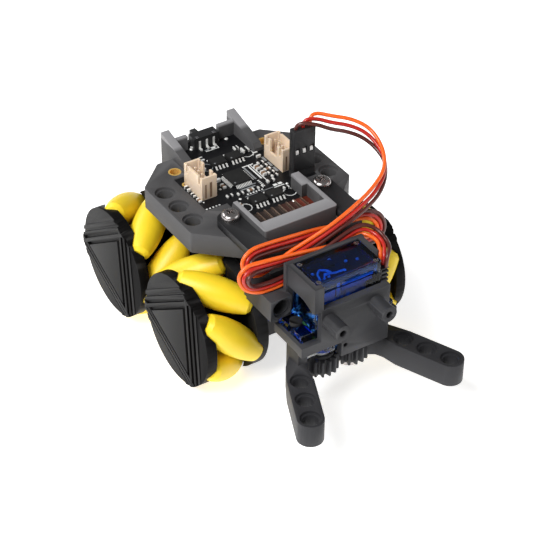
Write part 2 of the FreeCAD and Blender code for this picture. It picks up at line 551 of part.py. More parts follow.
# Middle line of the three-wire lead, with the way from one wire to the next and their spacing.
LEAD = [
    ((16.2, -5, 16.7), (1, 0, 0), 2.54),
    ((16.25, -5, 19.25), (1, 0.12, 0), 2.54),
    ((20.2, -6.4, 19.5), (0.5, 1, 0.3), 2.4),
    ((23.66, -8.9, 17.86), (-0.2, 1, 0.8), 2.1),
    ((28.77, -11, 16.38), (0, 0.5, 1), 2),
    ((32.59, -14, 14.41), (0.5, 0.3, 1), 1.8),
    ((34.47, -18, 11.89), (0.8, 0.3, 0.6), 1.6),
    ((33.93, -22.8, 9.44), (0.8, 0.8, 0), 2.3),
    ((30.76, -27.4, 7.51), (-0.1, 1, -0.1), 2.2),
    ((24.94, -31.6, 6.38), (-0.6, 1, 0.3), 1.65),
    ((17.92, -35, 6.04), (-0.5, 0.8, 0.7), 1.42),
    ((10.9, -36.8, 4.81), (-0.3, 0.6, 1), 1.36),
    ((4.67, -36.6, 2.09), (0, 0.3, 1), 1.36),
    ((-1.65, -35.8, -0.77), (0, 0.5, 1), 1.42),
    ((-8.24, -35.4, -2.9), (0, 1, 0.4), 1.56),
    ((-14.31, -35.3, -4.3), (0, 0.8, -1), 1.56),
    ((-18.66, -35.2, -4.58), (0, 0.3, -1), 1.42),
    ((-21.68, -34.9, -2.83), (0, 0.3, -1), 1.42),
    ((-22.15, -34.3, 0.37), (-1, 0.3, 0), 1.42),
    ((-19.7, -33.6, 1.96), (-0.3, 0.3, 1), 1.42),
    ((-14.93, -33, 1.46), (0, 0.3, 1), 1.36),
    ((-8.63, -32.75, 0.78), (0, 0.3, 1), 1.36),
    ((-1.55, -32.5, -0.19), (0, 0.6, 1), 1.42),
    ((5.12, -32.45, -0.48), (0, 1, 0.1), 1.46),
    ((10.52, -32.75, 0.32), (0, 0.7, -1), 1.46),
    ((15.55, -33.6, 1.61), (0, 0.2, -1), 1.38),
    ((19.33, -34.8, 1.98), (0, 0, -1), 1.38),
    ((22.51, -36, 0.24), (-1, 0, -0.8), 1.44),
    ((23.5, -36.9, -3.21), (-1, 0, 0.2), 1.44),
    ((21.48, -37.4, -5.77), (-0.5, 0, 1), 1.44),
    ((16.15, -37.8, -5.25), (0, 0, 1), 1.4),
    ((9.91, -38, -4.13), (0, 0, 1), 1.36),
    ((2.43, -38.1, -2.91), (0, 0, 1), 1.34),
    ((-5.23, -38.1, -1.66), (0, 0, 1), 1.34),
    ((-12.74, -38.05, -0.47), (0, 0, 1), 1.34),
    ((-18.73, -37.9, 0.06), (0, 0.1, 1), 1.36),
    ((-23.42, -37.9, 0.36), (-0.9, 0.9, 0.6), 1.46),
    ((-25.79, -38.1, -1.82), (-1.1, 1.3, 0), 1.46),
    ((-24.29, -38.4, -5.5), (-0.9, 0.9, -0.6), 1.46),
    ((-20.66, -38.9, -6.84), (0, 0, -1), 1.36),
    ((-16.24, -39.4, -6.79), (0, 0, -1), 1.34),
    ((-10.52, -39.5, -6.18), (0, 0, -1), 1.34),
    ((-3.72, -39.55, -4.21), (0, 0, -1), 1.34),
    ((3.14, -39.55, -1.55), (0, 0, -1), 1.34),
    ((9.07, -39.45, 0.62), (0, -0.1, -1), 1.42),
    ((14.24, -39.3, 1.49), (-0.1, -0.2, -1), 1.5),
    ((16.78, -41.8, 0.62), (-0.8, -0.4, -0.5), 1.5),
    ((17.28, -45.4, -0.2), (-1, -0.1, 0), 1.4),
    ((15.47, -49.4, 0.16), (-0.5, 0.9, 0), 1.5),
    ((13.6, -51.5, -0.9), (0, 1, 0), 1.29),
    ((13.6, -51.5, -3.6), (0, 1, 0), 1.29),
]
WIRES = (("wire_brown", -1), ("wire_red", 0), ("wire_orange", 1))


def lead_route(step):
    """Route of one wire: the middle line moved sideways, square to the lead past the plug."""
    mid = [vec(*p) for p, _, _ in LEAD]
    route = []
    for k, (_, way, pitch) in enumerate(LEAD):
        along = vec(0, 0, 0)
        if k > 0:
            along = along + (mid[k] - mid[k - 1]).normalize()
        if k < len(mid) - 1:
            along = along + (mid[k + 1] - mid[k]).normalize()
        along.normalize()
        way = vec(*way)
        if k > 1:
            way = way - along * way.dot(along)
        way.normalize()
        route.append(mid[k] + way * pitch * step)
    return route


def cord_path(points):
    """Straight runs joined by tangent arcs; returns the edges and the arc radii."""
    edges, radii = [], []
    at = points[0]
    for a, b, c in zip(points, points[1:], points[2:]):
        u, w = (b - a), (c - b)
        short = min(u.Length, w.Length)
        u.normalize()
        w.normalize()
        turn = math.acos(max(-1.0, min(1.0, u.dot(w))))
        cut = 0.45 * short
        radius = cut / math.tan(turn / 2)
        radii.append(radius)
        p, q = b - u * cut, b + w * cut
        centre_way = w - u
        centre_way.normalize()
        mid = b + centre_way * (radius / math.cos(turn / 2) - radius)
        edges.append(Part.makeLine(at, p))
        edges.append(Part.Arc(p, mid, q).toShape())
        at = q
    edges.append(Part.makeLine(at, points[-1]))
    return edges, radii


def cord(points, diameter):
    edges, radii = cord_path(points)
    wire = Part.Wire(edges)
    way = (points[1] - points[0]).normalize()
    ring = Part.Wire(Part.makeCircle(diameter / 2, points[0], way))
    tube = wire.makePipeShell([ring], True, False)
    return tube, wire.Length, radii


for name, step in WIRES:
    tube, length, radii = cord(lead_route(step), WIRE_D)
    PARTS[name] = tube
    section = math.pi * WIRE_D ** 2 / 4
    print("%s length %.1f volume ratio %.4f radii %s"
          % (name, length, tube.Volume / (section * length), " ".join("%.1f" % r for r in radii)))

# ---------------------------------------------------------------- output
low, high = 1e9, -1e9
SOFT = ("wire_", "servo_plug", "servo_strain")
for name, shape in PARTS.items():
    save(name, shape)
    if not name.startswith(SOFT):
        low, high = min(low, shape.BoundBox.YMin), max(high, shape.BoundBox.YMax)
print("%d parts, middle of length at %.3f" % (len(PARTS), (low + high) / 2))
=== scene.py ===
import bpy
import bmesh
import json
import math
from mathutils import Matrix, Vector

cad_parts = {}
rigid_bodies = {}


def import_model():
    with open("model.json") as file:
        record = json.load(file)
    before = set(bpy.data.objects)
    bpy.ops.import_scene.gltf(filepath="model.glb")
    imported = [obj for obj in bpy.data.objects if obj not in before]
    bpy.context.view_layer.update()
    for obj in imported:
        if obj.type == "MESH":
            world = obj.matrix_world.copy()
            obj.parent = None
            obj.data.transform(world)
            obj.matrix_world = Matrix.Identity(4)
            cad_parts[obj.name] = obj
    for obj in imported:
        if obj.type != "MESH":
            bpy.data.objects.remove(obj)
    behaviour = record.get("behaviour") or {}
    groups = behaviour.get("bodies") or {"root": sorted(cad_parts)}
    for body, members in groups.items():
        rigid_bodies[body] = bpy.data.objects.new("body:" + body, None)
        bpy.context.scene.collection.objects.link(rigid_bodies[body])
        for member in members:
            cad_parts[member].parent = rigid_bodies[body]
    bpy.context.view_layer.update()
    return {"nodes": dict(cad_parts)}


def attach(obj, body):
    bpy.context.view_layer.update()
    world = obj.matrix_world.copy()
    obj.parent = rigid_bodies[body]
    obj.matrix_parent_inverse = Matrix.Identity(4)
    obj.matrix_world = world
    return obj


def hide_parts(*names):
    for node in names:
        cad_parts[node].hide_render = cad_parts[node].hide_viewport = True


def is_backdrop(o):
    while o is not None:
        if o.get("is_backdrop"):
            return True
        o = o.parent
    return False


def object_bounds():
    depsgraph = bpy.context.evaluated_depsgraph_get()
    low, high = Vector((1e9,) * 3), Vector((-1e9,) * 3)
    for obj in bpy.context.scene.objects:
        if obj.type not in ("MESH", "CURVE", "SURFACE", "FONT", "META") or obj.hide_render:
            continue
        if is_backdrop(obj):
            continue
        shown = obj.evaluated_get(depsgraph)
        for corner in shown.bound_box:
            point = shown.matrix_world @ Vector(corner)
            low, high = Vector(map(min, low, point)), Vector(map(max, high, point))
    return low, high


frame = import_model()
# Blender's own starting objects
for o in list(bpy.data.objects):
    if o.name in ("Cube", "Light", "Camera") and o.name not in frame["nodes"]:
        bpy.data.objects.remove(o)

# The drawing's x, y, z in millimetres are taken from the middle of the deck's top face.
DECK = Vector((0.0, 0.017204, 0.0499))


def at(x, y, z):
    """A place on the drawing, in the frame's metres."""
    return Vector((x, y, z)) * 0.001 + DECK


# ---------------------------------------------------------------- camera
def make_camera():
    """Long-lens camera from the front right, rolled slightly."""
    azimuth, elevation, roll = math.radians(-33.374), math.radians(37.541), math.radians(0.806)
    target, distance = at(7.211, -4.757, -35.327), 0.5894
    back = Vector((math.sin(azimuth) * math.cos(elevation),
                   -math.cos(azimuth) * math.cos(elevation), math.sin(elevation)))
    right = Vector((0, 0, 1)).cross(back).normalized()
    up = back.cross(right)
    turned_right = right * math.cos(roll) + up * math.sin(roll)
    turned_up = up * math.cos(roll) - right * math.sin(roll)
    data = bpy.data.cameras.new("camera")
    data.sensor_width = 36.0
    data.lens = 123.59
    data.clip_start, data.clip_end = 0.01, 20.0
    camera = bpy.data.objects.new("camera", data)
    bpy.context.collection.objects.link(camera)
    turn = Matrix((turned_right, turned_up, back)).transposed().to_4x4()
    camera.matrix_world = Matrix.Translation(target + back * distance) @ turn
    bpy.context.scene.camera = camera


make_camera()


# ---------------------------------------------------------------- the three-wire lead
# From the plug over the arch, to and fro in front of the body, and into the strain relief. Each row has a
# point of the middle line, the way from one wire to the next, and their spacing, in millimetres.
LEAD = [
    ((16.2, -5, 16.7), (1, 0, 0), 2.54),
    ((16.25, -5, 19.25), (1, 0.12, 0), 2.54),
    ((20.2, -6.4, 19.1), (0.5, 1, 0.3), 2.4),
    ((23.66, -8.9, 17.86), (-0.2, 1, 0.8), 2.1),
    ((28.77, -11, 16.38), (0, 0.5, 1), 2),
    ((32.59, -14, 14.41), (0.5, 0.3, 1), 1.8),
    ((34.25, -18, 11.89), (0.25, -0.7, 0.72), 1.5),
    ((33.93, -22.8, 9.44), (-0.44, -0.66, 0.61), 1.5),
    ((30.76, -27.4, 7.51), (-0.55, -0.35, 0.66), 1.45),
    ((24.94, -31.6, 6.38), (-0.75, 0.25, 0.6), 1.42),
    ((17.92, -35, 6.04), (-0.5, 0.8, 0.7), 1.42),
    ((10.9, -36.8, 4.81), (-0.3, 0.6, 1), 1.36),
    ((4.67, -36.6, 2.09), (0, 0.3, 1), 1.36),
    ((-1.65, -35.8, -0.77), (0, 0.5, 1), 1.42),
    ((-8.24, -35.4, -2.9), (0, 1, 0.4), 1.56),
    ((-14.31, -35.3, -4.3), (0, 0.8, -1), 1.56),
    ((-18.66, -35.2, -4.58), (0, 0.3, -1), 1.42),
    ((-21.68, -34.9, -2.83), (0, 0.3, -1), 1.42),
    ((-22.15, -34.3, 0.37), (-1, 0.3, 0), 1.42),
    ((-19.7, -33.6, 1.96), (-0.3, 0.3, 1), 1.42),
    ((-14.93, -33, 1.46), (0, 0.3, 1), 1.36),
    ((-8.63, -32.75, 0.78), (0, 0.3, 1), 1.36),
    ((-1.55, -32.5, -0.19), (0, 0.6, 1), 1.42),
    ((5.12, -32.45, -0.48), (0, 1, 0.1), 1.46),
    ((10.52, -32.75, 0.32), (0, 0.7, -1), 1.46),
    ((15.55, -33.6, 1.61), (0, 0.2, -1), 1.38),
    ((19.33, -34.8, 1.98), (0, 0, -1), 1.38),
    ((22.51, -36, 0.24), (-1, 0, -0.8), 1.44),
    ((23.5, -36.9, -3.21), (-1, 0, 0.2), 1.44),
    ((21.48, -37.4, -5.77), (-0.5, 0, 1), 1.44),
    ((16.15, -37.8, -5.25), (0, 0, 1), 1.4),
    ((9.91, -38, -4.13), (0, 0, 1), 1.36),
    ((2.43, -38.1, -2.91), (0, 0, 1), 1.34),
    ((-5.23, -38.1, -1.66), (0, 0, 1), 1.34),
    ((-12.74, -38.05, -0.47), (0, 0, 1), 1.34),
    ((-18.73, -37.9, 0.06), (0, 0.1, 1), 1.36),
    ((-23.42, -37.9, 0.36), (-0.9, 0.9, 0.6), 1.46),
    ((-25.79, -38.1, -1.82), (-1.1, 1.3, 0), 1.46),
    ((-24.29, -38.4, -5.5), (-0.9, 0.9, -0.6), 1.46),
    ((-20.66, -38.9, -6.84), (0, 0, -1), 1.36),
    ((-16.24, -39.4, -6.79), (0, 0, -1), 1.34),
    ((-10.52, -39.5, -6.18), (0, 0, -1), 1.34),
    ((-3.72, -39.55, -4.21), (0, 0, -1), 1.34),
    ((3.14, -39.55, -1.55), (0, 0, -1), 1.34),
    ((9.07, -39.45, 0.62), (0, -0.1, -1), 1.42),
    ((14.24, -39.3, 1.49), (-0.1, -0.2, -1), 1.5),
    ((16.78, -41.8, 0.62), (-0.8, -0.4, -0.5), 1.5),
    ((17.28, -45.4, -0.2), (-1, -0.1, 0), 1.4),
    ((15.47, -49.4, 0.16), (-0.5, 0.9, 0), 1.5),
    ((13.6, -51.5, -0.9), (0, 1, 0), 1.29),
    ((13.6, -51.5, -3.6), (0, 1, 0), 1.29),
]


def lead_route(step):
    """Route of one wire: the middle line moved sideways, square to the lead past the plug."""
    mid = [Vector(p) for p, _, _ in LEAD]
    route = []
    for k, (_, way, pitch) in enumerate(LEAD):
        along = Vector((0, 0, 0))
        if k > 0:
            along = along + (mid[k] - mid[k - 1]).normalized()
        if k < len(mid) - 1:
            along = along + (mid[k + 1] - mid[k]).normalized()
        along.normalize()
        way = Vector(way)
        if k > 1:
            way = way - along * way.dot(along)
        way.normalize()
        route.append(at(*(mid[k] + way * pitch * step)))
    return route


# ---------------------------------------------------------------- materials
def ramp_of(nodes, low, high):
    """Map-range node whose result runs from low to high."""
    r = nodes.new("ShaderNodeMapRange")
    r.inputs["To Min"].default_value = low
    r.inputs["To Max"].default_value = high
    return r


def finish_of(name, colour, rough=0.5, vary=0.12, patch=90.0, grain=2600.0, depth=0.00002, metal=0.0,
              rough_vary=0.08, wear=0.0, coat=0.0, clear=0.0, ior=1.5, glow=0.0, sheen=0.5, painted_light_band=None):
    """Procedural finish: slow colour drift, fine grain in the bump and the gloss, lighter worn edges.

    The last argument, when given, is a band of painted light and shade: an axis, two places along it in
    metres, and a factor. The colour is multiplied by the factor past the second place and fades to it from
    the first, so a factor above one paints a highlight and one below paints shade.
    """
    m = bpy.data.materials.new(name)
    m.use_nodes = True
    nodes, links = m.node_tree.nodes, m.node_tree.links

    def tinted(base, tint, amount):
        """Base colour turned towards a tint by amount."""
        blend = nodes.new("ShaderNodeMix")
        blend.data_type = "RGBA"
        blend.inputs["B"].default_value = (*tint, 1)
        links.new(amount, blend.inputs["Factor"])
        links.new(base, blend.inputs["A"])
        return blend.outputs["Result"]

    shader = nodes["Principled BSDF"]
    shader.inputs["Metallic"].default_value = metal
    shader.inputs["IOR"].default_value = ior
    shader.inputs["Specular IOR Level"].default_value = sheen
    shader.inputs["Transmission Weight"].default_value = clear
    if coat:
        shader.inputs["Coat Weight"].default_value = coat
        shader.inputs["Coat Roughness"].default_value = 0.12
    if glow:
        shader.inputs["Subsurface Weight"].default_value = glow
        shader.inputs["Subsurface Radius"].default_value = (0.002, 0.0014, 0.0004)
        shader.inputs["Subsurface Scale"].default_value = 1.0
    where = nodes.new("ShaderNodeTexCoord")
    slow = nodes.new("ShaderNodeTexNoise")
    slow.inputs["Scale"].default_value = patch
    slow.inputs["Detail"].default_value = 5.0
    fine = nodes.new("ShaderNodeTexNoise")
    fine.inputs["Scale"].default_value = grain
    fine.inputs["Detail"].default_value = 3.0
    for n in (slow, fine):
        links.new(where.outputs["Object"], n.inputs["Vector"])
    mix = nodes.new("ShaderNodeMix")
    mix.data_type = "RGBA"
    dark = [c * (1 - vary) for c in colour]
    light = [min(1.0, c * (1 + vary)) for c in colour]
    mix.inputs["A"].default_value = (*dark, 1)
    mix.inputs["B"].default_value = (*light, 1)
    spread = ramp_of(nodes, 0.0, 1.0)
    spread.inputs["From Min"].default_value = 0.3
    spread.inputs["From Max"].default_value = 0.7
    links.new(slow.outputs["Fac"], spread.inputs["Value"])
    links.new(spread.outputs["Result"], mix.inputs["Factor"])
    colour_out = mix.outputs["Result"]
    # painted light and shade: the colour turned lighter or darker along one axis, past a given place
    if painted_light_band:
        axis, start, end, factor = painted_light_band
        parts = nodes.new("ShaderNodeSeparateXYZ")
        links.new(where.outputs["Object"], parts.inputs["Vector"])
        painted_light_rise = ramp_of(nodes, 0.0, 1.0)
        painted_light_rise.inputs["From Min"].default_value = start
        painted_light_rise.inputs["From Max"].default_value = end
        links.new(parts.outputs[axis], painted_light_rise.inputs["Value"])
        colour_out = tinted(colour_out, [c * factor for c in colour], painted_light_rise.outputs["Result"])
    if wear:
        shape = nodes.new("ShaderNodeNewGeometry")
        edge = ramp_of(nodes, 0.0, wear)
        edge.inputs["From Min"].default_value = 0.53
        edge.inputs["From Max"].default_value = 0.62
        links.new(shape.outputs["Pointiness"], edge.inputs["Value"])
        colour_out = tinted(colour_out, [min(1.0, c * 1.5 + 0.05) for c in colour], edge.outputs["Result"])
    links.new(colour_out, shader.inputs["Base Color"])
    gloss = ramp_of(nodes, max(0.02, rough - rough_vary), min(1.0, rough + rough_vary))
    links.new(fine.outputs["Fac"], gloss.inputs["Value"])
    links.new(gloss.outputs["Result"], shader.inputs["Roughness"])
    bump = nodes.new("ShaderNodeBump")
    bump.inputs["Strength"].default_value = 0.6
    bump.inputs["Distance"].default_value = depth
    links.new(fine.outputs["Fac"], bump.inputs["Height"])
    links.new(bump.outputs["Normal"], shader.inputs["Normal"])
    return m


# Each finish: name, colour, roughness, colour drift, patch and grain scale, bump depth in metres.
M = {
    # the deck colour grows 4.2 times lighter from 3.9 to 4.3 mm above the deck top, on the front bar's top:
    # painted highlight
    "deck": finish_of("deck_nylon_painted_highlight", (0.062, 0.061, 0.063), 0.60, 0.12, 60, 5200, 0.00004, wear=0.35,
                      sheen=0.35, painted_light_band=("Z", 0.0538, 0.0542, 4.2)),
    "tub": finish_of("tub_nylon", (0.020, 0.019, 0.020), 0.52, 0.15, 70, 4200, 0.00003, wear=0.3, ior=1.25),
    # the bracket colour darkens to a quarter from 39 to 36 mm in front of the deck middle and on towards the
    # body: painted shade
    "bracket": finish_of("bracket_nylon_painted_shade", (0.030, 0.030, 0.033), 0.50, 0.15, 60, 5200, 0.00004, wear=0.4,
                         ior=1.3, painted_light_band=("Y", -0.022, -0.019, 0.25)),
    "hub": finish_of("hub_nylon", (0.0035, 0.0032, 0.0032), 0.42, 0.15, 80, 3600, 0.00002, wear=0.4,
                     ior=1.14),
    "roller": finish_of("roller_rubber", (0.92, 0.66, 0.022), 0.42, 0.05, 120, 2200, 0.00002, glow=0.15),
    "mask": finish_of("solder_mask", (0.006, 0.006, 0.007), 0.40, 0.25, 220, 1500, 0.00001, sheen=0.2),
    "epoxy": finish_of("chip_epoxy", (0.012, 0.012, 0.012), 0.50, 0.15, 300, 6000, 0.00001, sheen=0.3),
    "tin": finish_of("tinned_metal", (0.84, 0.84, 0.82), 0.34, 0.06, 500, 4000, 0.00001, metal=0.35),
    "print": finish_of("white_print", (0.72, 0.73, 0.72), 0.55, 0.08, 900, 5000, 0.00001),
    "grey_print": finish_of("grey_print", (0.22, 0.23, 0.24), 0.55, 0.12, 900, 5000, 0.00001),
    # the brown of ceramic part bodies, also used for the socket slots' painted shade
    "part_brown_and_slot_shade": finish_of("part_brown_body_and_slot_shade", (0.20, 0.12, 0.07), 0.45, 0.12, 600, 5000, 0.00001),
    "socket": finish_of("natural_nylon", (0.64, 0.50, 0.37), 0.42, 0.07, 200, 2600, 0.00002, glow=0.12,
                        wear=0.3),
    "black": finish_of("black_moulding", (0.008, 0.008, 0.009), 0.40, 0.15, 150, 3800, 0.00002, wear=0.4,
                       sheen=0.2),
    "gold": finish_of("gold_plate", (0.62, 0.44, 0.34), 0.32, 0.08, 300, 3000, 0.00001, metal=1.0),
    "copper_dark": finish_of("copper_under_mask", (0.016, 0.009, 0.007), 0.40, 0.3, 900, 3000, 0.00001),
    "copper_brown": finish_of("copper_brown", (0.040, 0.012, 0.008), 0.40, 0.3, 900, 3000, 0.00001),
    "copper_red": finish_of("copper_red", (0.110, 0.018, 0.009), 0.40, 0.3, 900, 3000, 0.00001),
    "brass": finish_of("turned_brass", (0.90, 0.58, 0.16), 0.26, 0.10, 300, 5000, 0.00002, metal=0.55),
    "steel": finish_of("nickel_steel", (0.46, 0.43, 0.42), 0.26, 0.10, 400, 3600, 0.00001, metal=1.0),
    "stamped": finish_of("stamped_steel", (0.32, 0.32, 0.34), 0.34, 0.12, 300, 3600, 0.00002, metal=1.0),
    "servo": finish_of("clear_blue", (0.06, 0.30, 0.98), 0.06, 0.06, 60, 700, 0.000012, rough_vary=0.03,
                       clear=1.0, ior=1.33, sheen=0.3),
    "inside": finish_of("motor_plate", (0.72, 0.74, 0.78), 0.34, 0.2, 300, 2000, 0.00002, metal=0.4),
    "wrap": finish_of("battery_wrap", (0.06, 0.16, 0.42), 0.35, 0.10, 100, 1500, 0.00002),
    "white": finish_of("white_nylon", (0.80, 0.80, 0.77), 0.40, 0.05, 150, 3000, 0.00001, glow=0.1),
    "brown_pvc": finish_of("brown_pvc", (0.085, 0.014, 0.010), 0.34, 0.10, 200, 2500, 0.00001, coat=0.2),
    "red_pvc": finish_of("red_pvc", (0.48, 0.016, 0.009), 0.32, 0.08, 200, 2500, 0.00001, coat=0.2),
    "orange_pvc": finish_of("orange_pvc", (0.90, 0.13, 0.010), 0.32, 0.08, 200, 2500, 0.00001, coat=0.2),
}

# the lead's three wires: node, place beside the middle line, finish
WIRE_RADIUS = 0.0006
WIRES = (("wire_brown", -1, "brown_pvc"), ("wire_red", 0, "red_pvc"), ("wire_orange", 1, "orange_pvc"))


def spline_length(curve_object):
    """Length in metres of the wire's middle line, read from the spline with its thickness off."""
    thick = curve_object.data.bevel_depth
    curve_object.data.bevel_depth = 0.0
    mesh = bpy.data.meshes.new_from_object(curve_object)
    curve_object.data.bevel_depth = thick
    points = [v.co.copy() for v in mesh.vertices]
    bpy.data.meshes.remove(mesh)
    return sum((b - a).length for a, b in zip(points, points[1:]))


for node, step, finish_name in WIRES:
    route = lead_route(step)
    data = bpy.data.curves.new(node + "_line", "CURVE")
    data.dimensions = "3D"
    data.resolution_u = 10
    data.bevel_depth = 1.0  # times each point's radius
    data.bevel_resolution = 5
    line = data.splines.new("NURBS")
    line.points.add(len(route) - 1)
    for point, place in zip(line.points, route):
        point.co = (*place, 1.0)
        point.radius = WIRE_RADIUS
    line.order_u = 3
    line.use_endpoint_u = True
    data.materials.append(M[finish_name])
    piece = bpy.data.objects.new(node + "_line", data)
    bpy.context.collection.objects.link(piece)
    bpy.context.view_layer.update()
    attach(piece, "chassis")
    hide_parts(node)
    spline_length(piece)


# ---------------------------------------------------------------- carried-over nodes
def paint(node, *finishes):
    """Gives a CAD node's own object its finish."""
    shown = frame["nodes"][node]
    shown.data.materials.clear()
    for f in finishes:
        shown.data.materials.append(M[f])


def soften(piece, radius, degrees):
    """Rounds the edges of a piece that are sharper than an angle."""
    bevel = piece.modifiers.new("edge", "BEVEL")
    bevel.width = radius
    bevel.segments = 2
    bevel.limit_method = "ANGLE"
    bevel.angle_limit = math.radians(degrees)
    return bevel


def refine(node, finish_name, radius, body="chassis"):
    """The CAD solid with its moulded edges rounded."""
    source = frame["nodes"][node]
    mesh = source.data.copy()
    mesh.name = node + "_moulded"
    bm = bmesh.new()
    bm.from_mesh(mesh)
    bmesh.ops.remove_doubles(bm, verts=bm.verts, dist=1e-6)
    bmesh.ops.dissolve_limit(bm, angle_limit=math.radians(0.6), verts=bm.verts, edges=bm.edges)
    bm.to_mesh(mesh)
    bm.free()
    mesh.materials.clear()
    mesh.materials.append(M[finish_name])
    piece = bpy.data.objects.new(node + "_moulded", mesh)
    bpy.context.collection.objects.link(piece)
    for p in mesh.polygons:
        p.use_smooth = True
    soften(piece, radius, 30).harden_normals = True
    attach(piece, body)
    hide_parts(node)
    return piece


refine("upper_shell", "deck", 0.00025)
refine("gripper_bracket", "bracket", 0.00025)
refine("drive_arm", "bracket", 0.00025, "drive_arm")
refine("idler_arm", "bracket", 0.00025, "idler_arm")
refine("servo_cover", "servo", 0.0002)
refine("servo_case", "servo", 0.0002)
refine("wire_sockets", "socket", 0.00008)
refine("servo_plug", "black", 0.00012)
refine("servo_strain_relief", "black", 0.0001)

# the cover's screws are bright; the two tab screws below them take the near-black hub finish, painted shade for
# their dark corner
screws = refine("servo_screws", "steel", 0.00005)
screws.data.materials.append(M["hub"])
for face in screws.data.polygons:
    if face.center.z < at(0, 0, -10).z:
        face.material_index = 1

for wheel in ("front_right", "rear_right", "front_left", "rear_left"):
    refine("hub_outer_" + wheel, "hub", 0.0002, "wheel_" + wheel)
    paint("hub_inner_" + wheel, "hub")
    for k in range(1, 7):
        paint("roller_%s_%d" % (wheel, k), "roller")
for node, finish_name in (("lower_shell", "tub"), ("main_board", "mask"), ("servo_header", "black"),
                          ("switch_knob", "black"), ("brass_inserts", "brass"),
                          ("bracket_screws", "steel"), ("gear_motors", "inside"), ("battery", "wrap"),
                          ("pivot_screw", "steel"), ("servo_horn", "white")):
    paint(node, finish_name)


# ---------------------------------------------------------------- board detail
BOARD_TOP = -0.2


def mesh_piece(name, bm, finishes, radius=0.0, replaces=None):
    """Finished piece on the chassis from a bmesh in drawing millimetres."""
    for v in bm.verts:
        v.co = at(*v.co)
    bmesh.ops.recalc_face_normals(bm, faces=bm.faces)
    mesh = bpy.data.meshes.new(name)
    bm.to_mesh(mesh)
    bm.free()
    for f in finishes:
        mesh.materials.append(M[f])
    piece = bpy.data.objects.new(name, mesh)
    bpy.context.collection.objects.link(piece)
    if radius:
        soften(piece, radius, 40)
    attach(piece, "chassis")
    if replaces:
        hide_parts(replaces)
    return piece


def sweep(bm, outline, lift, finish=0):
    """Solid between a polygon and its copy moved by lift."""
    low = [bm.verts.new(p) for p in outline]
    high = [bm.verts.new(Vector(p) + Vector(lift)) for p in outline]
    n = len(outline)
    faces = [bm.faces.new(low[::-1]), bm.faces.new(high)]
    faces += [bm.faces.new((low[k], low[(k + 1) % n], high[(k + 1) % n], high[k])) for k in range(n)]
    for f in faces:
        f.material_index = finish


def slab(bm, x0, x1, y0, y1, z0, z1, finish=0):
    """Box between two corners."""
    sweep(bm, [(x0, y0, z0), (x1, y0, z0), (x1, y1, z0), (x0, y1, z0)], (0, 0, z1 - z0), finish)


def gull_pin(bm, root, out, width, size):
    """Bent chip lead: out of the body, down, and flat on its pad."""
    side = Vector((-out[1], out[0], 0)) * width
    profile = [(-0.1, 0.80), (0.42, 0.80), (0.74, 0.22), (1.25, 0.22), (1.25, 0.02), (0.60, 0.02),
               (0.28, 0.60), (-0.1, 0.60)]
    outline = [Vector((root[0] + out[0] * a * size, root[1] + out[1] * a * size, BOARD_TOP + z * size))
               - side / 2 for a, z in profile]
    sweep(bm, outline, side, 1)


CORNERS = ((-1, -1), (1, -1), (1, 1), (-1, 1))


def chip(bm, x, y, width, length, height, across, along, pitch, lead, size):
    """Moulded chip with its leads.

    across and along count the leads on each y side and on each x side, lead is their width and size scales
    their bent shape.
    """
    z0, z1 = BOARD_TOP + 0.12, BOARD_TOP + height
    waist = z0 + (z1 - z0) * 0.5
    for a, b, draft in ((z0, waist, -0.12), (waist, z1, 0.12)):
        w0, l0 = width / 2 - max(0, -draft), length / 2 - max(0, -draft)
        w1, l1 = width / 2 - max(0, draft), length / 2 - max(0, draft)
        low = [bm.verts.new((x + sx * w0, y + sy * l0, a)) for sx, sy in CORNERS]
        high = [bm.verts.new((x + sx * w1, y + sy * l1, b)) for sx, sy in CORNERS]
        bm.faces.new(low[::-1])
        bm.faces.new(high)
        for k in range(4):
            bm.faces.new((low[k], low[(k + 1) % 4], high[(k + 1) % 4], high[k]))
    for side in (-1, 1):
        for k in range(across):
            step = (k - (across - 1) / 2) * pitch
            gull_pin(bm, (x + step, y + side * length / 2), (0, side), lead, size)
        for k in range(along):
            step = (k - (along - 1) / 2) * pitch
            gull_pin(bm, (x + side * width / 2, y + step), (side, 0), lead, size)
    dot_x, dot_y = x - width / 2 + 0.8, y - length / 2 + 0.8
    dot = [(dot_x + 0.28 * math.cos(t * math.pi / 6), dot_y + 0.28 * math.sin(t * math.pi / 6), z1)
           for t in range(12)]
    sweep(bm, dot, (0, 0, 0.015), 2)


# one square controller and four eight-lead motor drivers
MOTOR_DRIVERS = ((-2.7, -10.3), (3.0, -10.3), (-2.6, 13.0), (3.3, 13.0))
bm = bmesh.new()
chip(bm, -1.9, 2.9, 6.4, 7.0, 1.2, across=11, along=12, pitch=0.5, lead=0.24, size=0.8)
for x, y in MOTOR_DRIVERS:
    chip(bm, x, y, 4.9, 3.8, 1.4, across=4, along=0, pitch=1.22, lead=0.5, size=1.0)
mesh_piece("chips_and_leads", bm, ("epoxy", "tin", "grey_print"), 0.00004, "board_chips")

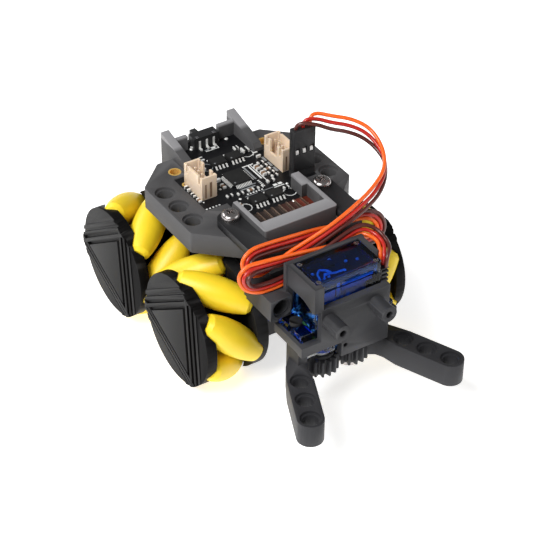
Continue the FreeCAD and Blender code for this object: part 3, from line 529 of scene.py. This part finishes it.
# small board parts, a body between two tinned ends: x, y, width, length, height
bm = bmesh.new()
SMALL = ((6.3, 4.6, 1.3, 2.2, 0.9), (8.6, 6.4, 2.2, 1.1, 0.6), (8.6, 4.4, 2.2, 1.1, 0.6),
         (8.6, 2.4, 2.2, 1.1, 0.6), (8.6, 0.4, 2.2, 1.1, 0.6), (8.6, -1.6, 2.2, 1.1, 0.6),
         (6.3, 1.0, 1.3, 2.2, 0.9), (6.0, -3.4, 2.6, 1.2, 0.8),
         (-7.6, 6.0, 1.6, 3.2, 1.1), (-7.6, 1.6, 1.1, 2.1, 0.7), (-17.5, 5.9, 1.1, 2.3, 1.0),
         (-17.5, 2.4, 1.0, 1.9, 0.6), (-17.5, -0.8, 1.0, 1.9, 0.6), (-8.6, -3.6, 2.1, 1.1, 0.6),
         (-5.2, -4.3, 2.1, 1.1, 0.6), (-1.6, -4.3, 2.1, 1.1, 0.6), (1.6, -4.6, 1.9, 1.1, 0.6),
         (8.2, 14.6, 2.2, 2.2, 1.0), (-8.4, 12.8, 1.7, 2.5, 1.0), (-5.6, 17.4, 1.1, 1.9, 0.6),
         (6.4, 17.0, 1.5, 1.5, 0.8), (-8.4, -9.4, 1.1, 1.9, 0.6), (8.0, -9.0, 1.9, 1.1, 0.8),
         (9.9, 10.4, 1.5, 2.5, 0.9))
END_SHARE = 0.26
for k, (x, y, w, l, h) in enumerate(SMALL):
    x0, x1, y0, y1 = x - w / 2, x + w / 2, y - l / 2, y + l / 2
    low, body_top, cap_top = BOARD_TOP + 0.05, BOARD_TOP + h * 0.92, BOARD_TOP + h * 0.96
    cap = END_SHARE * max(w, l)
    body = 0 if k % 3 else 2
    if l > w:
        slab(bm, x0 + 0.03, x1 - 0.03, y0 + cap, y1 - cap, low, body_top, body)
        slab(bm, x0, x1, y0, y0 + cap, BOARD_TOP, cap_top, 1)
        slab(bm, x0, x1, y1 - cap, y1, BOARD_TOP, cap_top, 1)
    else:
        slab(bm, x0 + cap, x1 - cap, y0 + 0.03, y1 - 0.03, low, body_top, body)
        slab(bm, x0, x0 + cap, y0, y1, BOARD_TOP, cap_top, 1)
        slab(bm, x1 - cap, x1, y0, y1, BOARD_TOP, cap_top, 1)
mesh_piece("small_parts_and_caps", bm, ("epoxy", "tin", "part_brown_and_slot_shade"), 0.00006, "board_parts")


INK_LOW, INK_THICK = BOARD_TOP + 0.003, 0.027


def mark(bm, x0, x1, y0, y1, finish=0):
    """Printed rectangle on the board."""
    slab(bm, x0, x1, y0, y1, INK_LOW, BOARD_TOP + 0.03, finish)


def ring(bm, x, y, r, width, finish=0, thick=INK_THICK, parts=40):
    """Ring on the board, of inner radius r."""
    for k in range(parts):
        a, b = 2 * math.pi * k / parts, 2 * math.pi * (k + 1) / parts
        outline = [(x + q * math.cos(t), y + q * math.sin(t), INK_LOW)
                   for q, t in ((r, a), (r + width, a), (r + width, b), (r, b))]
        sweep(bm, outline, (0, 0, thick), finish)


bm = bmesh.new()
for x, y, finish in ((-7.6, -11.0, 0), (8.0, -11.0, 0), (8.0, 13.2, 0), (-6.6, 13.0, 1)):
    ring(bm, x, y, 1.8, 0.24, finish)
# printed blocks: x0, x1, y0, y1, finish
PRINTS = ((2.7, 3.3, 0.0, 7.2, 1), (4.4, 4.9, -0.6, 7.2, 0), (2.7, 6.6, 7.2, 7.6, 0),
          (10.5, 11.3, 0.2, 2.6, 1), (10.5, 11.3, 3.4, 5.8, 1), (10.5, 11.3, 6.6, 9.0, 1),
          (5.3, 5.6, -2.6, 7.2, 0), (5.3, 8.8, -6.9, -6.5, 0), (5.6, 6.9, -6.1, -5.1, 0),
          (7.3, 8.6, -6.1, -5.1, 0), (-4.9, -0.4, -6.4, -6.15, 1), (0.8, 5.2, -6.4, -6.15, 1),
          (-4.2, 1.8, -1.9, -1.5, 1), (-4.2, 1.0, -3.0, -2.5, 1), (-2.2, 2.6, 20.4, 20.7, 0),
          (2.3, 2.6, 20.7, 21.8, 0), (0.2, 1.6, 20.9, 21.8, 0), (-2.2, -0.8, 20.9, 21.4, 1))
for x0, x1, y0, y1, finish in PRINTS:
    mark(bm, x0, x1, y0, y1, finish)
# rows of small pads
for k in range(6):
    mark(bm, -3.6 + 1.0 * k, -3.1 + 1.0 * k, -5.8, -5.2, 0)
for k in range(5):
    mark(bm, 2.8, 3.5, -4.4 + 0.8 * k, -4.0 + 0.8 * k, 0)
    mark(bm, -18.0 + 1.1 * k, -17.5 + 1.1 * k, -5.9, -5.4, 0)
for k in range(4):
    mark(bm, -16.9, -16.5, -2.4 + 1.7 * k, -1.9 + 1.7 * k, 0)
mesh_piece("board_print", bm, ("print", "grey_print"))

# domed solder joints: x, y, radius
bm = bmesh.new()
for x, y, r in ((-5.4, 24.0, 0.62), (6.9, 23.4, 0.62), (6.2, 15.9, 0.6), (6.4, -15.6, 0.55), (-9.0, 1.0, 0.4),
                (-6.6, -6.4, 0.45), (9.6, -7.0, 0.45)):
    rings_of = [[bm.verts.new((x + r * q * math.cos(t * math.pi / 8), y + r * q * math.sin(t * math.pi / 8),
                               INK_LOW + r * z)) for t in range(16)]
                for q, z in ((1.0, 0.0), (0.9, 0.25), (0.6, 0.5), (0.25, 0.6))]
    for low, high in zip(rings_of, rings_of[1:]):
        for k in range(16):
            bm.faces.new((low[k], low[(k + 1) % 16], high[(k + 1) % 16], high[k]))
    bm.faces.new(rings_of[0][::-1])
    bm.faces.new(rings_of[-1])
mesh_piece("solder_joints", bm, ("tin",))

bm = bmesh.new()
ring(bm, -16.6, 8.6, 0.55, 0.5, thick=0.2, parts=24)
mesh_piece("plated_ring", bm, ("brass",))

# wire sockets: two finger slots down each front end, drawn as thin dark brown strips of painted shade
bm = bmesh.new()
for x0 in (-16.8, 11.6):
    slab(bm, x0 + 1.1, x0 + 1.6, -1.42, -1.38, 0.3, 5.2, 0)
    slab(bm, x0 + 2.7, x0 + 3.5, -1.42, -1.38, 0.3, 5.6, 0)
mesh_piece("socket_slot_shade", bm, ("part_brown_and_slot_shade",))

# dock contacts: narrow plated blades with copper showing dimly through the mask between them
bm = bmesh.new()
for k in range(8):
    x = -8.89 + 2.54 * k
    sweep(bm, [(x - 0.13, -24.3, BOARD_TOP), (x - 0.13, -24.3, 0.42), (x - 0.13, -15.6, 0.42),
               (x - 0.13, -15.0, 0.1), (x - 0.13, -15.0, BOARD_TOP)], (0.26, 0, 0), 0)
    redder = 1 if k < 4 else 2 if k < 6 else 3
    mark(bm, x + 0.4, x + 2.2, -24.3, -15.2, redder)
mesh_piece("dock_blades", bm, ("gold", "copper_dark", "copper_brown", "copper_red"), 0.00004,
           "dock_contacts")

# switch: dark folded shell with three bright leads up its front
bm = bmesh.new()
slab(bm, -4.9, 3.9, 22.85, 26.55, BOARD_TOP, 3.85, 0)
for x in (-3.0, -0.5, 2.0):
    slab(bm, x - 0.32, x + 0.32, 22.55, 22.85, BOARD_TOP, 2.7, 1)
    slab(bm, x - 0.32, x + 0.32, 21.45, 22.6, BOARD_TOP, 0.35, 1)
for s in (-1, 1):
    slab(bm, -0.5 + s * 4.4 - 0.55, -0.5 + s * 4.4 + 0.55, 23.65, 24.55, BOARD_TOP, 0.55, 1)
    slab(bm, -0.5 + s * 3.0 - 0.5, -0.5 + s * 3.0 + 0.5, 23.0, 24.2, 3.8, 3.89, 2)
mesh_piece("switch_shell_and_leads", bm, ("black", "tin", "stamped"), 0.00012, "switch_body")

# under the servo's clear cover: driver card with solder joints and bent leads, motor, gears, and bright sheets
# behind the front that paint highlights
CARD_TOP = -1.65
CARD, METAL_GLINT_SHEET, DRUM, GEAR, TIN, WHITE_LEAD_AND_GLINT_SHEET = range(6)
ROUND, TOOTH = 40, 0.18
bm = bmesh.new()
slab(bm, -9.6, 9.6, -52.4, -43.6, -2.6, CARD_TOP, CARD)
# motor can, drum and two gears: x, y, radius, bottom, top, finish
for x, y, r, z0, z1, finish in ((5.8, -48.0, 3.85, -15.9, -3.8, TIN), (-5.3, -48.0, 4.1, -8.9, -3.5, DRUM),
                                (-5.3, -48.0, 4.3, -12.4, -11.0, GEAR), (0.8, -48.0, 1.95, -15.4, -10.1, GEAR)):
    outline = []
    for t in range(ROUND):
        tooth = TOOTH * (t % 2) if finish == GEAR else 0.0
        a = 2 * math.pi * t / ROUND
        outline.append((x + (r - tooth) * math.cos(a), y + (r - tooth) * math.sin(a), z0))
    sweep(bm, outline, (0, 0, z1 - z0), finish)
# chips on the card: x, y, width, length, height
for x, y, w, l, h in ((-2.0, -46.0, 3.2, 2.4, 0.7), (2.4, -49.6, 1.4, 0.8, 0.5), (4.8, -45.6, 0.8, 1.5, 0.5),
                      (-7.6, -45.4, 1.6, 1.6, 0.8), (7.6, -50.6, 1.8, 1.0, 0.5)):
    slab(bm, x - w / 2, x + w / 2, y - l / 2, y + l / 2, CARD_TOP, CARD_TOP + h, CARD)
# solder joints on the card
for x, y in ((-8.0, -50.6), (-6.4, -50.9), (-4.8, -51.0), (-8.4, -47.6), (-3.4, -49.4), (0.6, -50.8),
             (3.4, -47.4), (6.6, -48.4), (-0.4, -44.5)):
    slab(bm, x - 0.36, x + 0.36, y - 0.36, y + 0.36, CARD_TOP, -1.15, TIN)
# painted highlight: bright sheets just behind the clear front stand for glints on its face: x0, x1, bottom,
# top, finish
for x0, x1, z0, z1, finish in ((-9.3, -3.9, -8.8, -4.4, WHITE_LEAD_AND_GLINT_SHEET), (-3.3, -2.4, -9.4, -2.7, WHITE_LEAD_AND_GLINT_SHEET),
                               (-1.6, 9.0, -6.4, -3.2, METAL_GLINT_SHEET)):
    slab(bm, x0, x1, -52.35, -52.0, z0, z1, finish)
# two bent leads over the card
for bend in (((-8.0, -50.6), (-7.4, -48.4), (-5.8, -47.2), (-4.4, -48.0), (-3.4, -49.4)),
             ((-6.4, -50.9), (-5.6, -49.4), (-4.2, -49.8), (-2.4, -50.6), (0.6, -50.8))):
    for (xa, ya), (xb, yb) in zip(bend, bend[1:]):
        run = Vector((xb - xa, yb - ya, 0))
        aside = Vector((-run.y, run.x, 0)).normalized() * 0.26
        a, b = Vector((xa, ya, -1.5)), Vector((xb, yb, -1.5))
        sweep(bm, [a - aside, b - aside, b + aside, a + aside], (0, 0, 0.5), WHITE_LEAD_AND_GLINT_SHEET)
mesh_piece("servo_works", bm, ("epoxy", "inside", "black", "white", "tin", "white"), 0.00005,
           "servo_internals")

# sprung contacts seen through the plug's three windows
bm = bmesh.new()
for d in (-2.54, 0.0, 2.54):
    x = 16.2 + d
    sweep(bm, [(x - 0.52, -5.95, 8.05), (x - 0.52, -6.22, 8.3), (x - 0.52, -6.22, 9.1),
               (x - 0.52, -5.95, 9.7)], (1.04, 0, 0))
mesh_piece("plug_contacts", bm, ("tin",), 0.00005)


# ---------------------------------------------------------------- studio
def make_stage():
    """White paper under the robot, faintly lit so that it stays white."""
    mesh = bpy.data.meshes.new("floor")
    s = 3.0
    mesh.from_pydata([(-s, -s, 0), (s, -s, 0), (s, s, 0), (-s, s, 0)], [], [(0, 1, 2, 3)])
    floor = bpy.data.objects.new("floor", mesh)
    bpy.context.collection.objects.link(floor)
    paper = finish_of("floor_paper", (0.94, 0.94, 0.94), 0.85, 0.0, 3, 400, 0.00002)
    lit = paper.node_tree.nodes["Principled BSDF"]
    lit.inputs["Emission Color"].default_value = (1, 1, 1, 1)
    lit.inputs["Emission Strength"].default_value = 0.65
    mesh.materials.append(paper)
    floor.location.z = -0.0002
    floor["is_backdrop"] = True


def lamp(name, size, power, place, target):
    """Soft rectangular light aimed at a point."""
    data = bpy.data.lights.new(name, "AREA")
    data.shape = "RECTANGLE"
    data.size, data.size_y = size
    data.energy = power
    light = bpy.data.objects.new(name, data)
    bpy.context.collection.objects.link(light)
    light.location = place
    light.rotation_mode = "QUATERNION"
    light.rotation_quaternion = (Vector(target) - Vector(place)).to_track_quat("-Z", "Y")


make_stage()
# name, width and height in metres, watts, place, aim
lamp("key", (0.4, 0.4), 6.5, (-0.5, -0.15, 0.62), (0, 0, 0.03))
lamp("fill", (0.7, 0.5), 1.6, (0.65, -0.55, 0.45), (0, 0, 0.02))
lamp("back", (0.6, 0.4), 3.0, (-0.35, 0.7, 0.6), (0, 0, 0.03))
world = bpy.data.worlds.new("studio")
bpy.context.scene.world = world
world.use_nodes = True
world.node_tree.nodes["Background"].inputs["Color"].default_value = (1, 1, 1, 1)
world.node_tree.nodes["Background"].inputs["Strength"].default_value = 0.20

bpy.context.scene.view_settings.view_transform = "Standard"
bpy.context.view_layer.update()
low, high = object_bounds()
